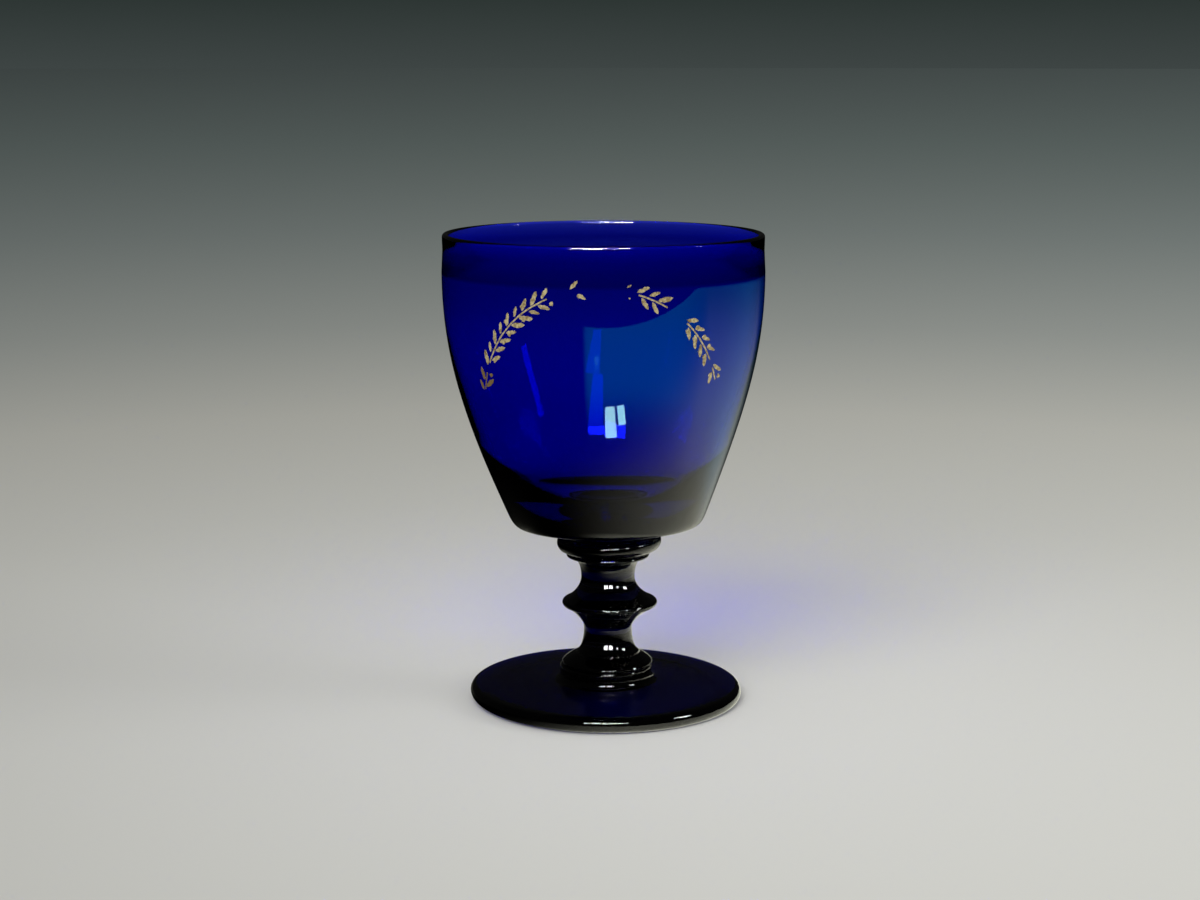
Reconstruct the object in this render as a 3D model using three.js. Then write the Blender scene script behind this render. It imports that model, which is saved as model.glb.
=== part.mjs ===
// A rummer: a short-stemmed drinking glass with a big rounded bowl, of deep cobalt-blue glass.
// Units are millimetres, +Z is up, and the origin is the centre of the foot's resting face.
// The glass is worked hot from separate gathers: foot, foot collar, knopped stem, thin stem ring,
// bowl collar and blown bowl. They stand on each other in that order, each one a turned solid.

import * as THREE from "three";

// The whole glass is this tall, and the bowl's wall takes up what the pieces under it leave
const OVERALL_HEIGHT = 125.4;

// Clearance between two gathers that touch
const SEAM = 0.3;

// Foot: a thick disc with a low boss in the middle and a slightly domed underside
const FOOT_RADIUS = 36.5;
const FOOT_EDGE_THICKNESS = 3.2;
const FOOT_SLOPE_RISE = 2.0;
const FOOT_BOSS_RADIUS = 12.9;
const FOOT_BOSS_HEIGHT = 1.5;
const FOOT_BOSS_FILLET = 2.6;
const FOOT_REST_RING_WIDTH = 4.5;
const FOOT_UNDERSIDE_RISE = 1.3;
const PONTIL_RADIUS = 7.0;
const PONTIL_DEPTH = 0.5;

// Foot collar: a low bun that covers the foot's boss
const FOOT_COLLAR_RADIUS = 12.1;
const FOOT_COLLAR_HEIGHT = 3.1;
const FOOT_COLLAR_EDGE_HEIGHT = 0.5;

// Stem: a flare, the lower neck, the bladed knop, the upper neck and a flare
const STEM_BOTTOM_RADIUS = 8.3;
const LOWER_FLARE_HEIGHT = 6.3;
const LOWER_NECK_RADIUS = 6.45;
const LOWER_NECK_TO_KNOP = 7.0;
const KNOP_RADIUS = 12.75;
const KNOP_EDGE_RADIUS = 0.95;
const KNOP_EDGE_SWEEP_DEG = 60;
const KNOP_TO_UPPER_NECK = 7.0;
const UPPER_NECK_RADIUS = 7.15;
const UPPER_FLARE_HEIGHT = 5.3;
const STEM_TOP_RADIUS = 9.4;

// Stem ring: a thin flat ring between the stem and the bowl collar
const STEM_RING_RADIUS = 11.05;
const STEM_RING_THICKNESS = 0.9;

// Bowl collar: a wider disc with an upright band and a chamfered underside
const BOWL_COLLAR_RADIUS = 13.95;
const BOWL_COLLAR_BAND_HEIGHT = 2.1;
const BOWL_COLLAR_CHAMFER_HEIGHT = 1.9;
const BOWL_COLLAR_BOTTOM_RADIUS = 11.3;
const COLLAR_EDGE_RADIUS = 0.45;

// Bowl: flat bottom with a rounded corner, straight lower wall, full belly and rolled lip.
// Inside, the wall runs beside the outer one down to its turn, and from there bends into the floor.
// A fullness is the share of the wall's height over which a curve keeps the direction it starts in.
const PAD_RADIUS = 8.0;
const PAD_HEIGHT = 1.1;
const UNDERSIDE_DROP = 2.8;
const BOTTOM_RADIUS = 24.4;
const CORNER_WIDTH = 2.1;
const CORNER_HEIGHT = 2.9;
const LOWER_WALL_TILT_DEG = 22.2;
const LOWER_WALL_FULLNESS = 0.48;
const BELLY_RADIUS = 42.4;
const BELLY_FULLNESS = 0.32;
const SHOULDER_HEIGHT = 5.6;
const WAIST_RADIUS = 42.1;
const LIP_RADIUS = 42.2;
const LIP_HEIGHT = 4.3;
const LIP_THICKNESS = 2.0;
const BELLY_WALL = 1.9;
const BASE_THICKNESS = 4.8;
const INNER_TURN_RADIUS = 31.2;
const INNER_TURN_HEIGHT = 28.2;
const FLOOR_BEND_RADIUS = 22.9;

// Facets round the axis, and steps along one curved stretch of an outline
const TURN_FACETS = 48;
const WALL_STEPS = 12;
const INNER_WALL_STEPS = 8;
const INNER_FLOOR_STEPS = 9;
const CURVE_STEPS = 5;
const EDGE_STEPS = 4;
const QUARTER_TURN_DEG = 90;

const GLASS_COLOUR = 0x0a0f6e;
const GLASS_ROUGHNESS = 0.04;

// An outline in the plane of the axis: x is the radius and y is the height
class Outline {
  constructor(radius, height) {
    this.points = [new THREE.Vector2(radius, height)];
  }

  line(radius, height) {
    this.points.push(new THREE.Vector2(radius, height));
    return this;
  }

  curve(bend, end, steps = CURVE_STEPS) {
    const start = this.points.at(-1);
    const stretch = new THREE.QuadraticBezierCurve(
      start,
      new THREE.Vector2(...bend),
      new THREE.Vector2(...end),
    );
    this.points.push(...stretch.getPoints(steps).slice(1));
    return this;
  }

  sweep(leave, arrive, end, steps = WALL_STEPS) {
    const start = this.points.at(-1);
    const stretch = new THREE.CubicBezierCurve(
      start,
      new THREE.Vector2(...leave),
      new THREE.Vector2(...arrive),
      new THREE.Vector2(...end),
    );
    this.points.push(...stretch.getPoints(steps).slice(1));
    return this;
  }

  arc(centre, radius, startDeg, endDeg, steps = EDGE_STEPS) {
    for (let step = 0; step <= steps; step += 1) {
      const angle = THREE.MathUtils.degToRad(THREE.MathUtils.lerp(startDeg, endDeg, step / steps));
      this.line(centre[0] + radius * Math.cos(angle), centre[1] + radius * Math.sin(angle));
    }
    return this;
  }
}

// A gather is its outline turned round the axis and set at its height
function gather(name, outline, baseHeight) {
  const geometry = new THREE.LatheGeometry(outline.points, TURN_FACETS);
  geometry.rotateX(Math.PI / 2);
  const glass = new THREE.MeshStandardMaterial({
    color: GLASS_COLOUR,
    roughness: GLASS_ROUGHNESS,
    metalness: 0,
  });
  const mesh = new THREE.Mesh(geometry, glass);
  mesh.name = name;
  mesh.position.z = baseHeight;
  return mesh;
}

// Foot
const footEdge = FOOT_EDGE_THICKNESS / 2;
const footSlopeTop = FOOT_EDGE_THICKNESS + FOOT_SLOPE_RISE;
const footHeight = footSlopeTop + FOOT_BOSS_FILLET + FOOT_BOSS_HEIGHT;
const restOuter = FOOT_RADIUS - footEdge;
const restInner = restOuter - FOOT_REST_RING_WIDTH;

// The angle at which the slope, which starts at the boss fillet, lies against the round edge
function slopeTouchDeg(filletEnd) {
  const run = restOuter - filletEnd;
  const rise = footSlopeTop - footEdge;
  const towardsFillet = Math.atan2(rise, -run);
  return THREE.MathUtils.radToDeg(towardsFillet - Math.acos(footEdge / Math.hypot(run, rise)));
}

function footOutline() {
  const filletEnd = FOOT_BOSS_RADIUS + FOOT_BOSS_FILLET;
  const bossShoulder = footHeight - FOOT_BOSS_HEIGHT / 2;
  return new Outline(0, FOOT_UNDERSIDE_RISE + PONTIL_DEPTH)
    .curve([PONTIL_RADIUS, FOOT_UNDERSIDE_RISE + PONTIL_DEPTH], [PONTIL_RADIUS, FOOT_UNDERSIDE_RISE])
    .curve([(PONTIL_RADIUS + restInner) / 2, FOOT_UNDERSIDE_RISE], [restInner, 0])
    .arc([restOuter, footEdge], footEdge, -QUARTER_TURN_DEG, slopeTouchDeg(filletEnd), EDGE_STEPS + 2)
    .line(filletEnd, footSlopeTop)
    .curve([FOOT_BOSS_RADIUS, footSlopeTop], [FOOT_BOSS_RADIUS, footSlopeTop + FOOT_BOSS_FILLET])
    .line(FOOT_BOSS_RADIUS, bossShoulder)
    .curve([FOOT_BOSS_RADIUS, footHeight], [FOOT_BOSS_RADIUS - FOOT_BOSS_HEIGHT / 2, footHeight])
    .line(0, footHeight);
}

// Foot collar
function footCollarOutline() {
  const edgeInset = FOOT_COLLAR_EDGE_HEIGHT / 2;
  return new Outline(0, 0)
    .line(FOOT_COLLAR_RADIUS - edgeInset, 0)
    .curve([FOOT_COLLAR_RADIUS, 0], [FOOT_COLLAR_RADIUS, FOOT_COLLAR_EDGE_HEIGHT])
    .curve(
      [FOOT_COLLAR_RADIUS - edgeInset, FOOT_COLLAR_EDGE_HEIGHT + FOOT_COLLAR_HEIGHT / 4],
      [STEM_BOTTOM_RADIUS + edgeInset, FOOT_COLLAR_HEIGHT],
    )
    .line(0, FOOT_COLLAR_HEIGHT);
}

// Stem
const lowerNeckHeight = LOWER_FLARE_HEIGHT;
const knopHeight = lowerNeckHeight + LOWER_NECK_TO_KNOP;
const upperNeckHeight = knopHeight + KNOP_TO_UPPER_NECK;
const stemHeight = upperNeckHeight + UPPER_FLARE_HEIGHT;

function stemOutline() {
  const bladeRoot = KNOP_RADIUS - KNOP_EDGE_RADIUS;
  return new Outline(0, 0)
    .line(STEM_BOTTOM_RADIUS, 0)
    .curve([LOWER_NECK_RADIUS, LOWER_FLARE_HEIGHT / 4], [LOWER_NECK_RADIUS, lowerNeckHeight])
    .sweep(
      [LOWER_NECK_RADIUS, lowerNeckHeight + LOWER_NECK_TO_KNOP / 3],
      [(LOWER_NECK_RADIUS + KNOP_RADIUS) / 2, knopHeight - LOWER_NECK_TO_KNOP / 3],
      [bladeRoot, knopHeight - KNOP_EDGE_RADIUS],
      CURVE_STEPS + 1,
    )
    .arc([bladeRoot, knopHeight], KNOP_EDGE_RADIUS, -KNOP_EDGE_SWEEP_DEG, KNOP_EDGE_SWEEP_DEG)
    .sweep(
      [(UPPER_NECK_RADIUS + KNOP_RADIUS) / 2, knopHeight + KNOP_TO_UPPER_NECK / 4],
      [UPPER_NECK_RADIUS, upperNeckHeight - KNOP_TO_UPPER_NECK / 2.5],
      [UPPER_NECK_RADIUS, upperNeckHeight],
      CURVE_STEPS + 1,
    )
    .curve([UPPER_NECK_RADIUS, stemHeight - UPPER_FLARE_HEIGHT / 5], [STEM_TOP_RADIUS, stemHeight])
    .line(0, stemHeight);
}

// Stem ring
function stemRingOutline() {
  const edge = STEM_RING_THICKNESS / 2;
  return new Outline(0, 0)
    .arc([STEM_RING_RADIUS - edge, edge], edge, -QUARTER_TURN_DEG, QUARTER_TURN_DEG)
    .line(0, STEM_RING_THICKNESS);
}

// Bowl collar
const bowlCollarHeight = BOWL_COLLAR_CHAMFER_HEIGHT + BOWL_COLLAR_BAND_HEIGHT;

function bowlCollarOutline() {
  const bandTop = bowlCollarHeight - COLLAR_EDGE_RADIUS;
  return new Outline(0, 0)
    .line(BOWL_COLLAR_BOTTOM_RADIUS, 0)
    .line(BOWL_COLLAR_RADIUS - COLLAR_EDGE_RADIUS, BOWL_COLLAR_CHAMFER_HEIGHT - COLLAR_EDGE_RADIUS)
    .curve(
      [BOWL_COLLAR_RADIUS, BOWL_COLLAR_CHAMFER_HEIGHT],
      [BOWL_COLLAR_RADIUS, BOWL_COLLAR_CHAMFER_HEIGHT + COLLAR_EDGE_RADIUS],
      EDGE_STEPS - 2,
    )
    .line(BOWL_COLLAR_RADIUS, bandTop)
    .curve(
      [BOWL_COLLAR_RADIUS, bowlCollarHeight],
      [BOWL_COLLAR_RADIUS - COLLAR_EDGE_RADIUS, bowlCollarHeight],
      EDGE_STEPS - 2,
    )
    .line(0, bowlCollarHeight);
}

// Height at which each gather stands on the one below
const footCollarBase = footHeight + SEAM;
const stemBase = footCollarBase + FOOT_COLLAR_HEIGHT + SEAM;
const stemRingBase = stemBase + stemHeight + SEAM;
const bowlCollarBase = stemRingBase + STEM_RING_THICKNESS + SEAM;
const bowlBase = bowlCollarBase + bowlCollarHeight + SEAM;

// Bowl
const bowlHeight = OVERALL_HEIGHT - bowlBase;
const bottomHeight = PAD_HEIGHT + UNDERSIDE_DROP;
const wallFoot = [BOTTOM_RADIUS + CORNER_WIDTH, bottomHeight + CORNER_HEIGHT];
const waistHeight = bowlHeight - LIP_HEIGHT;
const bellyHeight = waistHeight - SHOULDER_HEIGHT;

function bowlOutline() {
  const tilt = THREE.MathUtils.degToRad(LOWER_WALL_TILT_DEG);
  const wallHeight = bellyHeight - wallFoot[1];
  const lowerReach = LOWER_WALL_FULLNESS * wallHeight;
  const lip = LIP_THICKNESS / 2;
  const lipCentre = [LIP_RADIUS - lip, bowlHeight - lip];
  const innerRadius = BELLY_RADIUS - BELLY_WALL;
  const innerHeight = bellyHeight - INNER_TURN_HEIGHT;
  const innerReach = LOWER_WALL_FULLNESS * innerHeight;
  return new Outline(0, 0)
    .line(PAD_RADIUS, 0)
    .curve([PAD_RADIUS, PAD_HEIGHT], [PAD_RADIUS + PAD_HEIGHT, PAD_HEIGHT], EDGE_STEPS - 2)
    .line(BOTTOM_RADIUS, bottomHeight)
    .curve([wallFoot[0] - CORNER_HEIGHT * Math.tan(tilt), bottomHeight], wallFoot, EDGE_STEPS)
    .sweep(
      [wallFoot[0] + lowerReach * Math.sin(tilt), wallFoot[1] + lowerReach * Math.cos(tilt)],
      [BELLY_RADIUS, bellyHeight - BELLY_FULLNESS * wallHeight],
      [BELLY_RADIUS, bellyHeight],
    )
    .line(WAIST_RADIUS, waistHeight)
    .arc(lipCentre, lip, 0, 2 * QUARTER_TURN_DEG)
    .line(WAIST_RADIUS - BELLY_WALL, waistHeight)
    .line(innerRadius, bellyHeight)
    .sweep(
      [innerRadius, bellyHeight - BELLY_FULLNESS * innerHeight],
      [INNER_TURN_RADIUS + innerReach * Math.sin(tilt), INNER_TURN_HEIGHT + innerReach * Math.cos(tilt)],
      [INNER_TURN_RADIUS, INNER_TURN_HEIGHT],
      INNER_WALL_STEPS,
    )
    .curve([FLOOR_BEND_RADIUS, BASE_THICKNESS], [0, BASE_THICKNESS], INNER_FLOOR_STEPS);
}

// The assembled glass
const rummer = new THREE.Group();
rummer.name = "rummer";
rummer.add(gather("foot", footOutline(), 0));
rummer.add(gather("foot_collar", footCollarOutline(), footCollarBase));
rummer.add(gather("knopped_stem", stemOutline(), stemBase));
rummer.add(gather("stem_ring", stemRingOutline(), stemRingBase));
rummer.add(gather("bowl_collar", bowlCollarOutline(), bowlCollarBase));
rummer.add(gather("bowl", bowlOutline(), bowlBase));

export default rummer;
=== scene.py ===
"""Rummer of deep cobalt-blue glass, with a worn gilt garland on the front of the bowl.

Every piece is turned or laid out here around the frame of solids, in metres, +Z up, with the viewer at -Y.
"""

import logging
import math
import random
from dataclasses import dataclass, field
from enum import Enum
from functools import partial, reduce
from typing import NamedTuple

import bmesh
import bpy
from mathutils import Matrix, Vector


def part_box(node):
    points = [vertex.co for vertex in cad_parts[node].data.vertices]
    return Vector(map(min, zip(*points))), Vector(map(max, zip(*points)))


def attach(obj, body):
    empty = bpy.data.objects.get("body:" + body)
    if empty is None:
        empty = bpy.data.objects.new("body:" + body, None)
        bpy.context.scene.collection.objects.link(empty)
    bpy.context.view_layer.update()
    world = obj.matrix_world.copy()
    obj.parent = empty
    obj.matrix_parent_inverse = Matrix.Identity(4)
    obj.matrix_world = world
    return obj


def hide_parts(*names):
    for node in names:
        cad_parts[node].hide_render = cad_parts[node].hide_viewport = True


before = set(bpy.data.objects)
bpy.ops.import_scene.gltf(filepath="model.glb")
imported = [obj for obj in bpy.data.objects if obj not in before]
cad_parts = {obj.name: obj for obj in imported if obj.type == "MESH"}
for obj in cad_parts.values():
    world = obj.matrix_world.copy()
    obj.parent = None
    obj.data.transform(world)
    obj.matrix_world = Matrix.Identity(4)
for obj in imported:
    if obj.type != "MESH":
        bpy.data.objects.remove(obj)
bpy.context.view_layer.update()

LOG = logging.getLogger("rummer")

MM = 0.001
BODY = "root"

# The photograph's frame, and the pixel measures that the camera is worked out from
PHOTO_WIDTH_PX = 1200
FOCAL_LENGTH_PX = 2300.0
AXIS_SHIFT_PX = 6.0

SENSOR_WIDTH_MM = 36.0

# Points that lie closer than this are one point, in a turned piece and in the gilt film
TURNED_WELD = 0.0005 * MM
FILM_WELD = 0.002 * MM

WHITE = (1.0, 1.0, 1.0, 1.0)

# Sizes that two gathers share: the seam between them and the stem's foot
SEAM = 0.3 * MM
STEM_BOTTOM_RADIUS = 8.3 * MM


class Slot(Enum):
    """The record's material slots."""

    GLASS = "cobalt_glass"
    GILDING = "gilding"


def linear(colour: str) -> tuple[float, float, float, float]:
    """Turn an sRGB hex colour into linear values.

    Args:
        colour: The colour as "#rrggbb".

    Returns:
        Red, green, blue and an alpha of 1, all linear.
    """
    parts = [int(colour[i:i + 2], 16) / 255 for i in (1, 3, 5)]
    levels = [p / 12.92 if p <= 0.04045 else ((p + 0.055) / 1.055) ** 2.4 for p in parts]
    return (levels[0], levels[1], levels[2], 1.0)


Socket = bpy.types.NodeSocket
Feed = bpy.types.NodeSocket | float


@dataclass(frozen=True)
class Grain:
    """Soft patches in a finish: their width, the finer layers in them, and how strong those are."""

    width_mm: float
    detail: float
    roughness: float = 0.5


class Nodes:
    """The node tree of one material or of the world, emptied and filled anew."""

    def __init__(self, owner: bpy.types.Material | bpy.types.World) -> None:
        """Empty the node tree.

        Args:
            owner: The material or the world.
        """
        owner.use_nodes = True
        self.tree = owner.node_tree
        self.tree.nodes.clear()

    def add(
        self,
        kind: str,
        settings: dict[str, object] | None = None,
        inputs: dict[str | int, object] | None = None,
    ) -> bpy.types.Node:
        """Add one node, with its settings, values and links.

        Args:
            kind: The node's type, such as "ShaderNodeMath".
            settings: Values of the node's own properties.
            inputs: A value for each input socket, or the socket that feeds it.

        Returns:
            The new node.
        """
        node = self.tree.nodes.new(kind)
        for name, value in (settings or {}).items():
            setattr(node, name, value)
        for name, value in (inputs or {}).items():
            if isinstance(value, bpy.types.NodeSocket):
                self.tree.links.new(value, node.inputs[name])
            else:
                node.inputs[name].default_value = value
        return node

    def maths(self, operation: str, first: Feed, second: Feed = 0.0, clamp: bool = False) -> Socket:
        """Work out a value from one or two others.

        Args:
            operation: What is done, such as "ADD".
            first: The first value.
            second: The second value, where the operation takes one.
            clamp: Whether the result is kept between 0 and 1.

        Returns:
            The result.
        """
        settings = {"operation": operation, "use_clamp": clamp}
        return self.add("ShaderNodeMath", settings, {0: first, 1: second}).outputs[0]

    def length(self, vector: Socket) -> Socket:
        """Measure a vector."""
        return self.add("ShaderNodeVectorMath", {"operation": "LENGTH"}, {0: vector}).outputs["Value"]

    def scaled(self, colour: Socket | tuple[float, float, float], level: Socket) -> Socket:
        """Brighten or dim a colour by a level."""
        inputs = {0: colour, "Scale": level}
        return self.add("ShaderNodeVectorMath", {"operation": "SCALE"}, inputs).outputs["Vector"]

    def mixed(self, share: Socket, first: Socket, second: Socket) -> Socket:
        """Go from a first shader to a second as the share goes from 0 to 1."""
        return self.add("ShaderNodeMixShader", inputs={0: share, 1: first, 2: second}).outputs["Shader"]

    def place(self) -> Socket:
        """Give the point's place on its own object."""
        return self.add("ShaderNodeTexCoord").outputs["Object"]

    def noise(self, grain: Grain) -> Socket:
        """Scatter soft patches over a piece.

        Args:
            grain: The patches.

        Returns:
            A value from 0 to 1.
        """
        inputs = {
            "Vector": self.place(),
            "Scale": 1 / (grain.width_mm * MM),
            "Detail": grain.detail,
            "Roughness": grain.roughness,
        }
        return self.add("ShaderNodeTexNoise", inputs=inputs).outputs["Fac"]

    def bump(self, height: Socket, depth_mm: float, strength: float = 1.0) -> Socket:
        """Turn a value from 0 to 1 into hollows and rises of the surface."""
        inputs = {"Strength": strength, "Distance": depth_mm * MM, "Height": height}
        return self.add("ShaderNodeBump", inputs=inputs).outputs["Normal"]

    def span(
        self,
        value: Socket,
        source: tuple[float, float] = (0.0, 1.0),
        target: tuple[float, float] = (0.0, 1.0),
        soft: bool = False,
    ) -> Socket:
        """Carry a value over from one range to another, and keep it there.

        Args:
            value: The value.
            source: The range that it comes from.
            target: The range that it goes to.
            soft: Whether it leaves and arrives softly.

        Returns:
            The value in the other range.
        """
        settings = {"interpolation_type": "SMOOTHSTEP" if soft else "LINEAR"}
        ends = ("From Min", "From Max", "To Min", "To Max")
        inputs = {"Value": value, **dict(zip(ends, (*source, *target)))}
        return self.add("ShaderNodeMapRange", settings, inputs).outputs["Result"]

    def steps(self, *bounds: tuple[Socket, tuple[float, float]]) -> Socket:
        """Multiply soft steps from 0 to 1.

        Args:
            bounds: For each step, what it depends on, and where it is 0 and where it is 1.

        Returns:
            The product.
        """
        rises = [self.span(value, ends, soft=True) for value, ends in bounds]
        return reduce(partial(self.maths, "MULTIPLY"), rises)

    def ramp(self, share: Socket, tones: tuple[tuple[float, str], ...]) -> Socket:
        """Colour a value.

        Args:
            share: The value.
            tones: The colours in order, each with the value that it stands at.

        Returns:
            The colour.
        """
        node = self.add("ShaderNodeValToRGB", inputs={"Fac": share})
        stops = node.color_ramp.elements
        for position, _ in tones[1:-1]:
            stops.new(position)
        for stop, (position, colour) in zip(stops, tones):
            stop.position = position
            stop.color = linear(colour)
        return node.outputs["Color"]

    def mirrored_ray(self) -> Socket:
        """Tell the rays that a surface mirrors from those that come out through glass.

        Returns:
            A value that is 1 for a mirrored ray and 0 for any other.
        """
        rays = self.add("ShaderNodeLightPath").outputs
        return self.maths("SUBTRACT", rays["Is Glossy Ray"], rays["Is Transmission Ray"], clamp=True)


@dataclass(frozen=True)
class CobaltGlass:
    """Cobalt-blue soda glass, blown and fire-polished.

    The eye gets a skin like a mirror over a body that lets blue through and swallows the rest, so the
    thin wall of the bowl glows and every thick part goes black.
    """

    taken_per_metre: tuple[float, float, float] = (2200.0, 1900.0, 150.0)
    density_per_metre: float = 2300.0
    index: float = 1.52
    polish: float = 0.012
    wear: float = 0.03
    strength: float = 1.0
    ripple: Grain = Grain(14.0, 1.0, 0.4)
    ripple_depth_mm: float = 0.012
    scuffs: Grain = Grain(1.6, 4.0, 0.6)
    scuff_range: tuple[float, float] = (0.55, 0.8)

    def material(self, name: str) -> bpy.types.Material:
        """Make this glass as a material of its own for one piece.

        Args:
            name: The material's name.

        Returns:
            The material, with a refracting skin and an absorbing body.
        """
        material = bpy.data.materials.new(name)
        nodes = Nodes(material)
        skin = nodes.add(
            "ShaderNodeBsdfPrincipled",
            inputs={
                "Base Color": WHITE,
                "Roughness": nodes.span(nodes.noise(self.scuffs), self.scuff_range, (self.polish, self.wear)),
                "IOR": self.index,
                "Transmission Weight": 1.0,
                "Normal": nodes.bump(nodes.noise(self.ripple), self.ripple_depth_mm),
            },
        )
        passed = [1 - taken / self.density_per_metre for taken in self.taken_per_metre]
        body = nodes.add(
            "ShaderNodeVolumeAbsorption",
            inputs={"Color": (*passed, 1.0), "Density": self.density_per_metre * self.strength},
        )
        nodes.add(
            "ShaderNodeOutputMaterial",
            inputs={"Surface": skin.outputs["BSDF"], "Volume": body.outputs["Volume"]},
        )
        return material


@dataclass(frozen=True)
class WornGilding:
    """Fired gold on glass, rubbed thin by two hundred years of washing.

    It gives the eye a pale soft metal that goes brown where the film is thin.
    """

    bright: str = "#e3d3a0"
    thin: str = "#8d7447"
    thin_share: float = 0.48
    roughness: tuple[float, float] = (0.6, 0.38)
    patches: Grain = Grain(0.9, 5.0, 0.65)
    patch_edge: float = 0.12
    grain: Grain = Grain(0.12, 2.0)
    grain_depth_mm: float = 0.02
    grain_strength: float = 0.5
    metal: float = 0.25

    def material(self, name: str) -> bpy.types.Material:
        """Make this gilding as a material.

        Args:
            name: The material's name.

        Returns:
            The material.
        """
        material = bpy.data.materials.new(name)
        nodes = Nodes(material)
        patches = nodes.noise(self.patches)
        tones = (
            (self.thin_share - self.patch_edge, self.thin),
            (self.thin_share + self.patch_edge, self.bright),
        )
        skin = nodes.add(
            "ShaderNodeBsdfPrincipled",
            inputs={
                "Base Color": nodes.ramp(patches, tones),
                "Roughness": nodes.span(patches, target=self.roughness),
                "Metallic": self.metal,
                "Normal": nodes.bump(nodes.noise(self.grain), self.grain_depth_mm, self.grain_strength),
            },
        )
        nodes.add("ShaderNodeOutputMaterial", inputs={"Surface": skin.outputs["BSDF"]})
        return material



class Outline:
    """Half section of a turned piece, drawn as radius and height in metres from the axis."""

    def __init__(self, radius: float, height: float) -> None:
        """Start the outline at one point."""
        self.points: list[Vector] = [Vector((radius, height))]

    def line(self, radius: float, height: float) -> "Outline":
        """Draw a straight stretch.

        Args:
            radius: Where it ends, from the axis.
            height: Where it ends, from the foot.

        Returns:
            This outline.
        """
        self.points.append(Vector((radius, height)))
        return self

    def sweep(self, bends: list[tuple[float, float]], end: tuple[float, float], steps: int) -> "Outline":
        """Draw a curved stretch that is pulled towards one or two bends.

        Args:
            bends: One bend for a plain curve, or two for one that leaves and arrives on its own lines.
            end: Where it ends.
            steps: How many short lines make it.

        Returns:
            This outline.
        """
        pulls = [self.points[-1], *(Vector(b) for b in bends), Vector(end)]
        for step in range(1, steps + 1):
            share = step / steps
            row = list(pulls)
            while len(row) > 1:
                row = [a.lerp(b, share) for a, b in zip(row, row[1:])]
            self.points.append(row[0])
        return self

    def arc(
        self, centre: tuple[float, float], radius: float, sweep_deg: tuple[float, float], steps: int
    ) -> "Outline":
        """Draw part of a circle.

        Args:
            centre: The circle's centre.
            radius: The circle's radius.
            sweep_deg: Where it starts and ends, from straight out.
            steps: How many short lines make it.

        Returns:
            This outline.
        """
        for step in range(steps + 1):
            angle = math.radians(sweep_deg[0] + (sweep_deg[1] - sweep_deg[0]) * step / steps)
            spoke = Vector((math.cos(angle), math.sin(angle)))
            self.points.append(Vector(centre) + radius * spoke)
        return self

    def radius_at(self, height: float) -> float:
        """Find how far out the widest stretch of the outline is at one height.

        Args:
            height: The height, from the foot.

        Returns:
            The radius there, or 0 where the outline doesn't reach.
        """
        found = 0.0
        for low, high in zip(self.points, self.points[1:]):
            if min(low.y, high.y) <= height <= max(low.y, high.y) and low.y != high.y:
                found = max(found, low.lerp(high, (height - low.y) / (high.y - low.y)).x)
        return found

    def turned(self, facets: int) -> bmesh.types.BMesh:
        """Spin the outline round the axis into a closed solid.

        Args:
            facets: How many steps a whole turn has.

        Returns:
            The solid, with its faces pointing out.
        """
        solid = bmesh.new()
        corners = [solid.verts.new((point.x, 0.0, point.y)) for point in self.points]
        edges = [solid.edges.new(pair) for pair in zip(corners, corners[1:])]
        bmesh.ops.spin(
            solid,
            geom=[*corners, *edges],
            cent=(0, 0, 0),
            axis=(0, 0, 1),
            dvec=(0, 0, 0),
            angle=math.tau,
            steps=facets,
            use_merge=True,
            use_normal_flip=False,
            use_duplicate=False,
        )
        bmesh.ops.remove_doubles(solid, verts=solid.verts, dist=TURNED_WELD)
        bmesh.ops.recalc_face_normals(solid, faces=solid.faces)
        return solid


def place_piece(
    name: str, solid: bmesh.types.BMesh, finish: bpy.types.Material, smooth: bool = True
) -> bpy.types.Object:
    """Turn a finished bmesh into a piece of the scene that rides with the glass.

    Args:
        name: The piece's name.
        solid: The mesh, which is freed.
        finish: The piece's material.
        smooth: Whether its faces are shaded as one surface.

    Returns:
        The new object, at the origin.
    """
    for face in solid.faces:
        face.smooth = smooth
    mesh = bpy.data.meshes.new(name)
    solid.to_mesh(mesh)
    solid.free()
    mesh.materials.append(finish)
    piece = bpy.data.objects.new(name, mesh)
    bpy.context.collection.objects.link(piece)
    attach(piece, BODY)
    LOG.info("%s: %d faces", name, len(mesh.polygons))
    return piece


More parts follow.
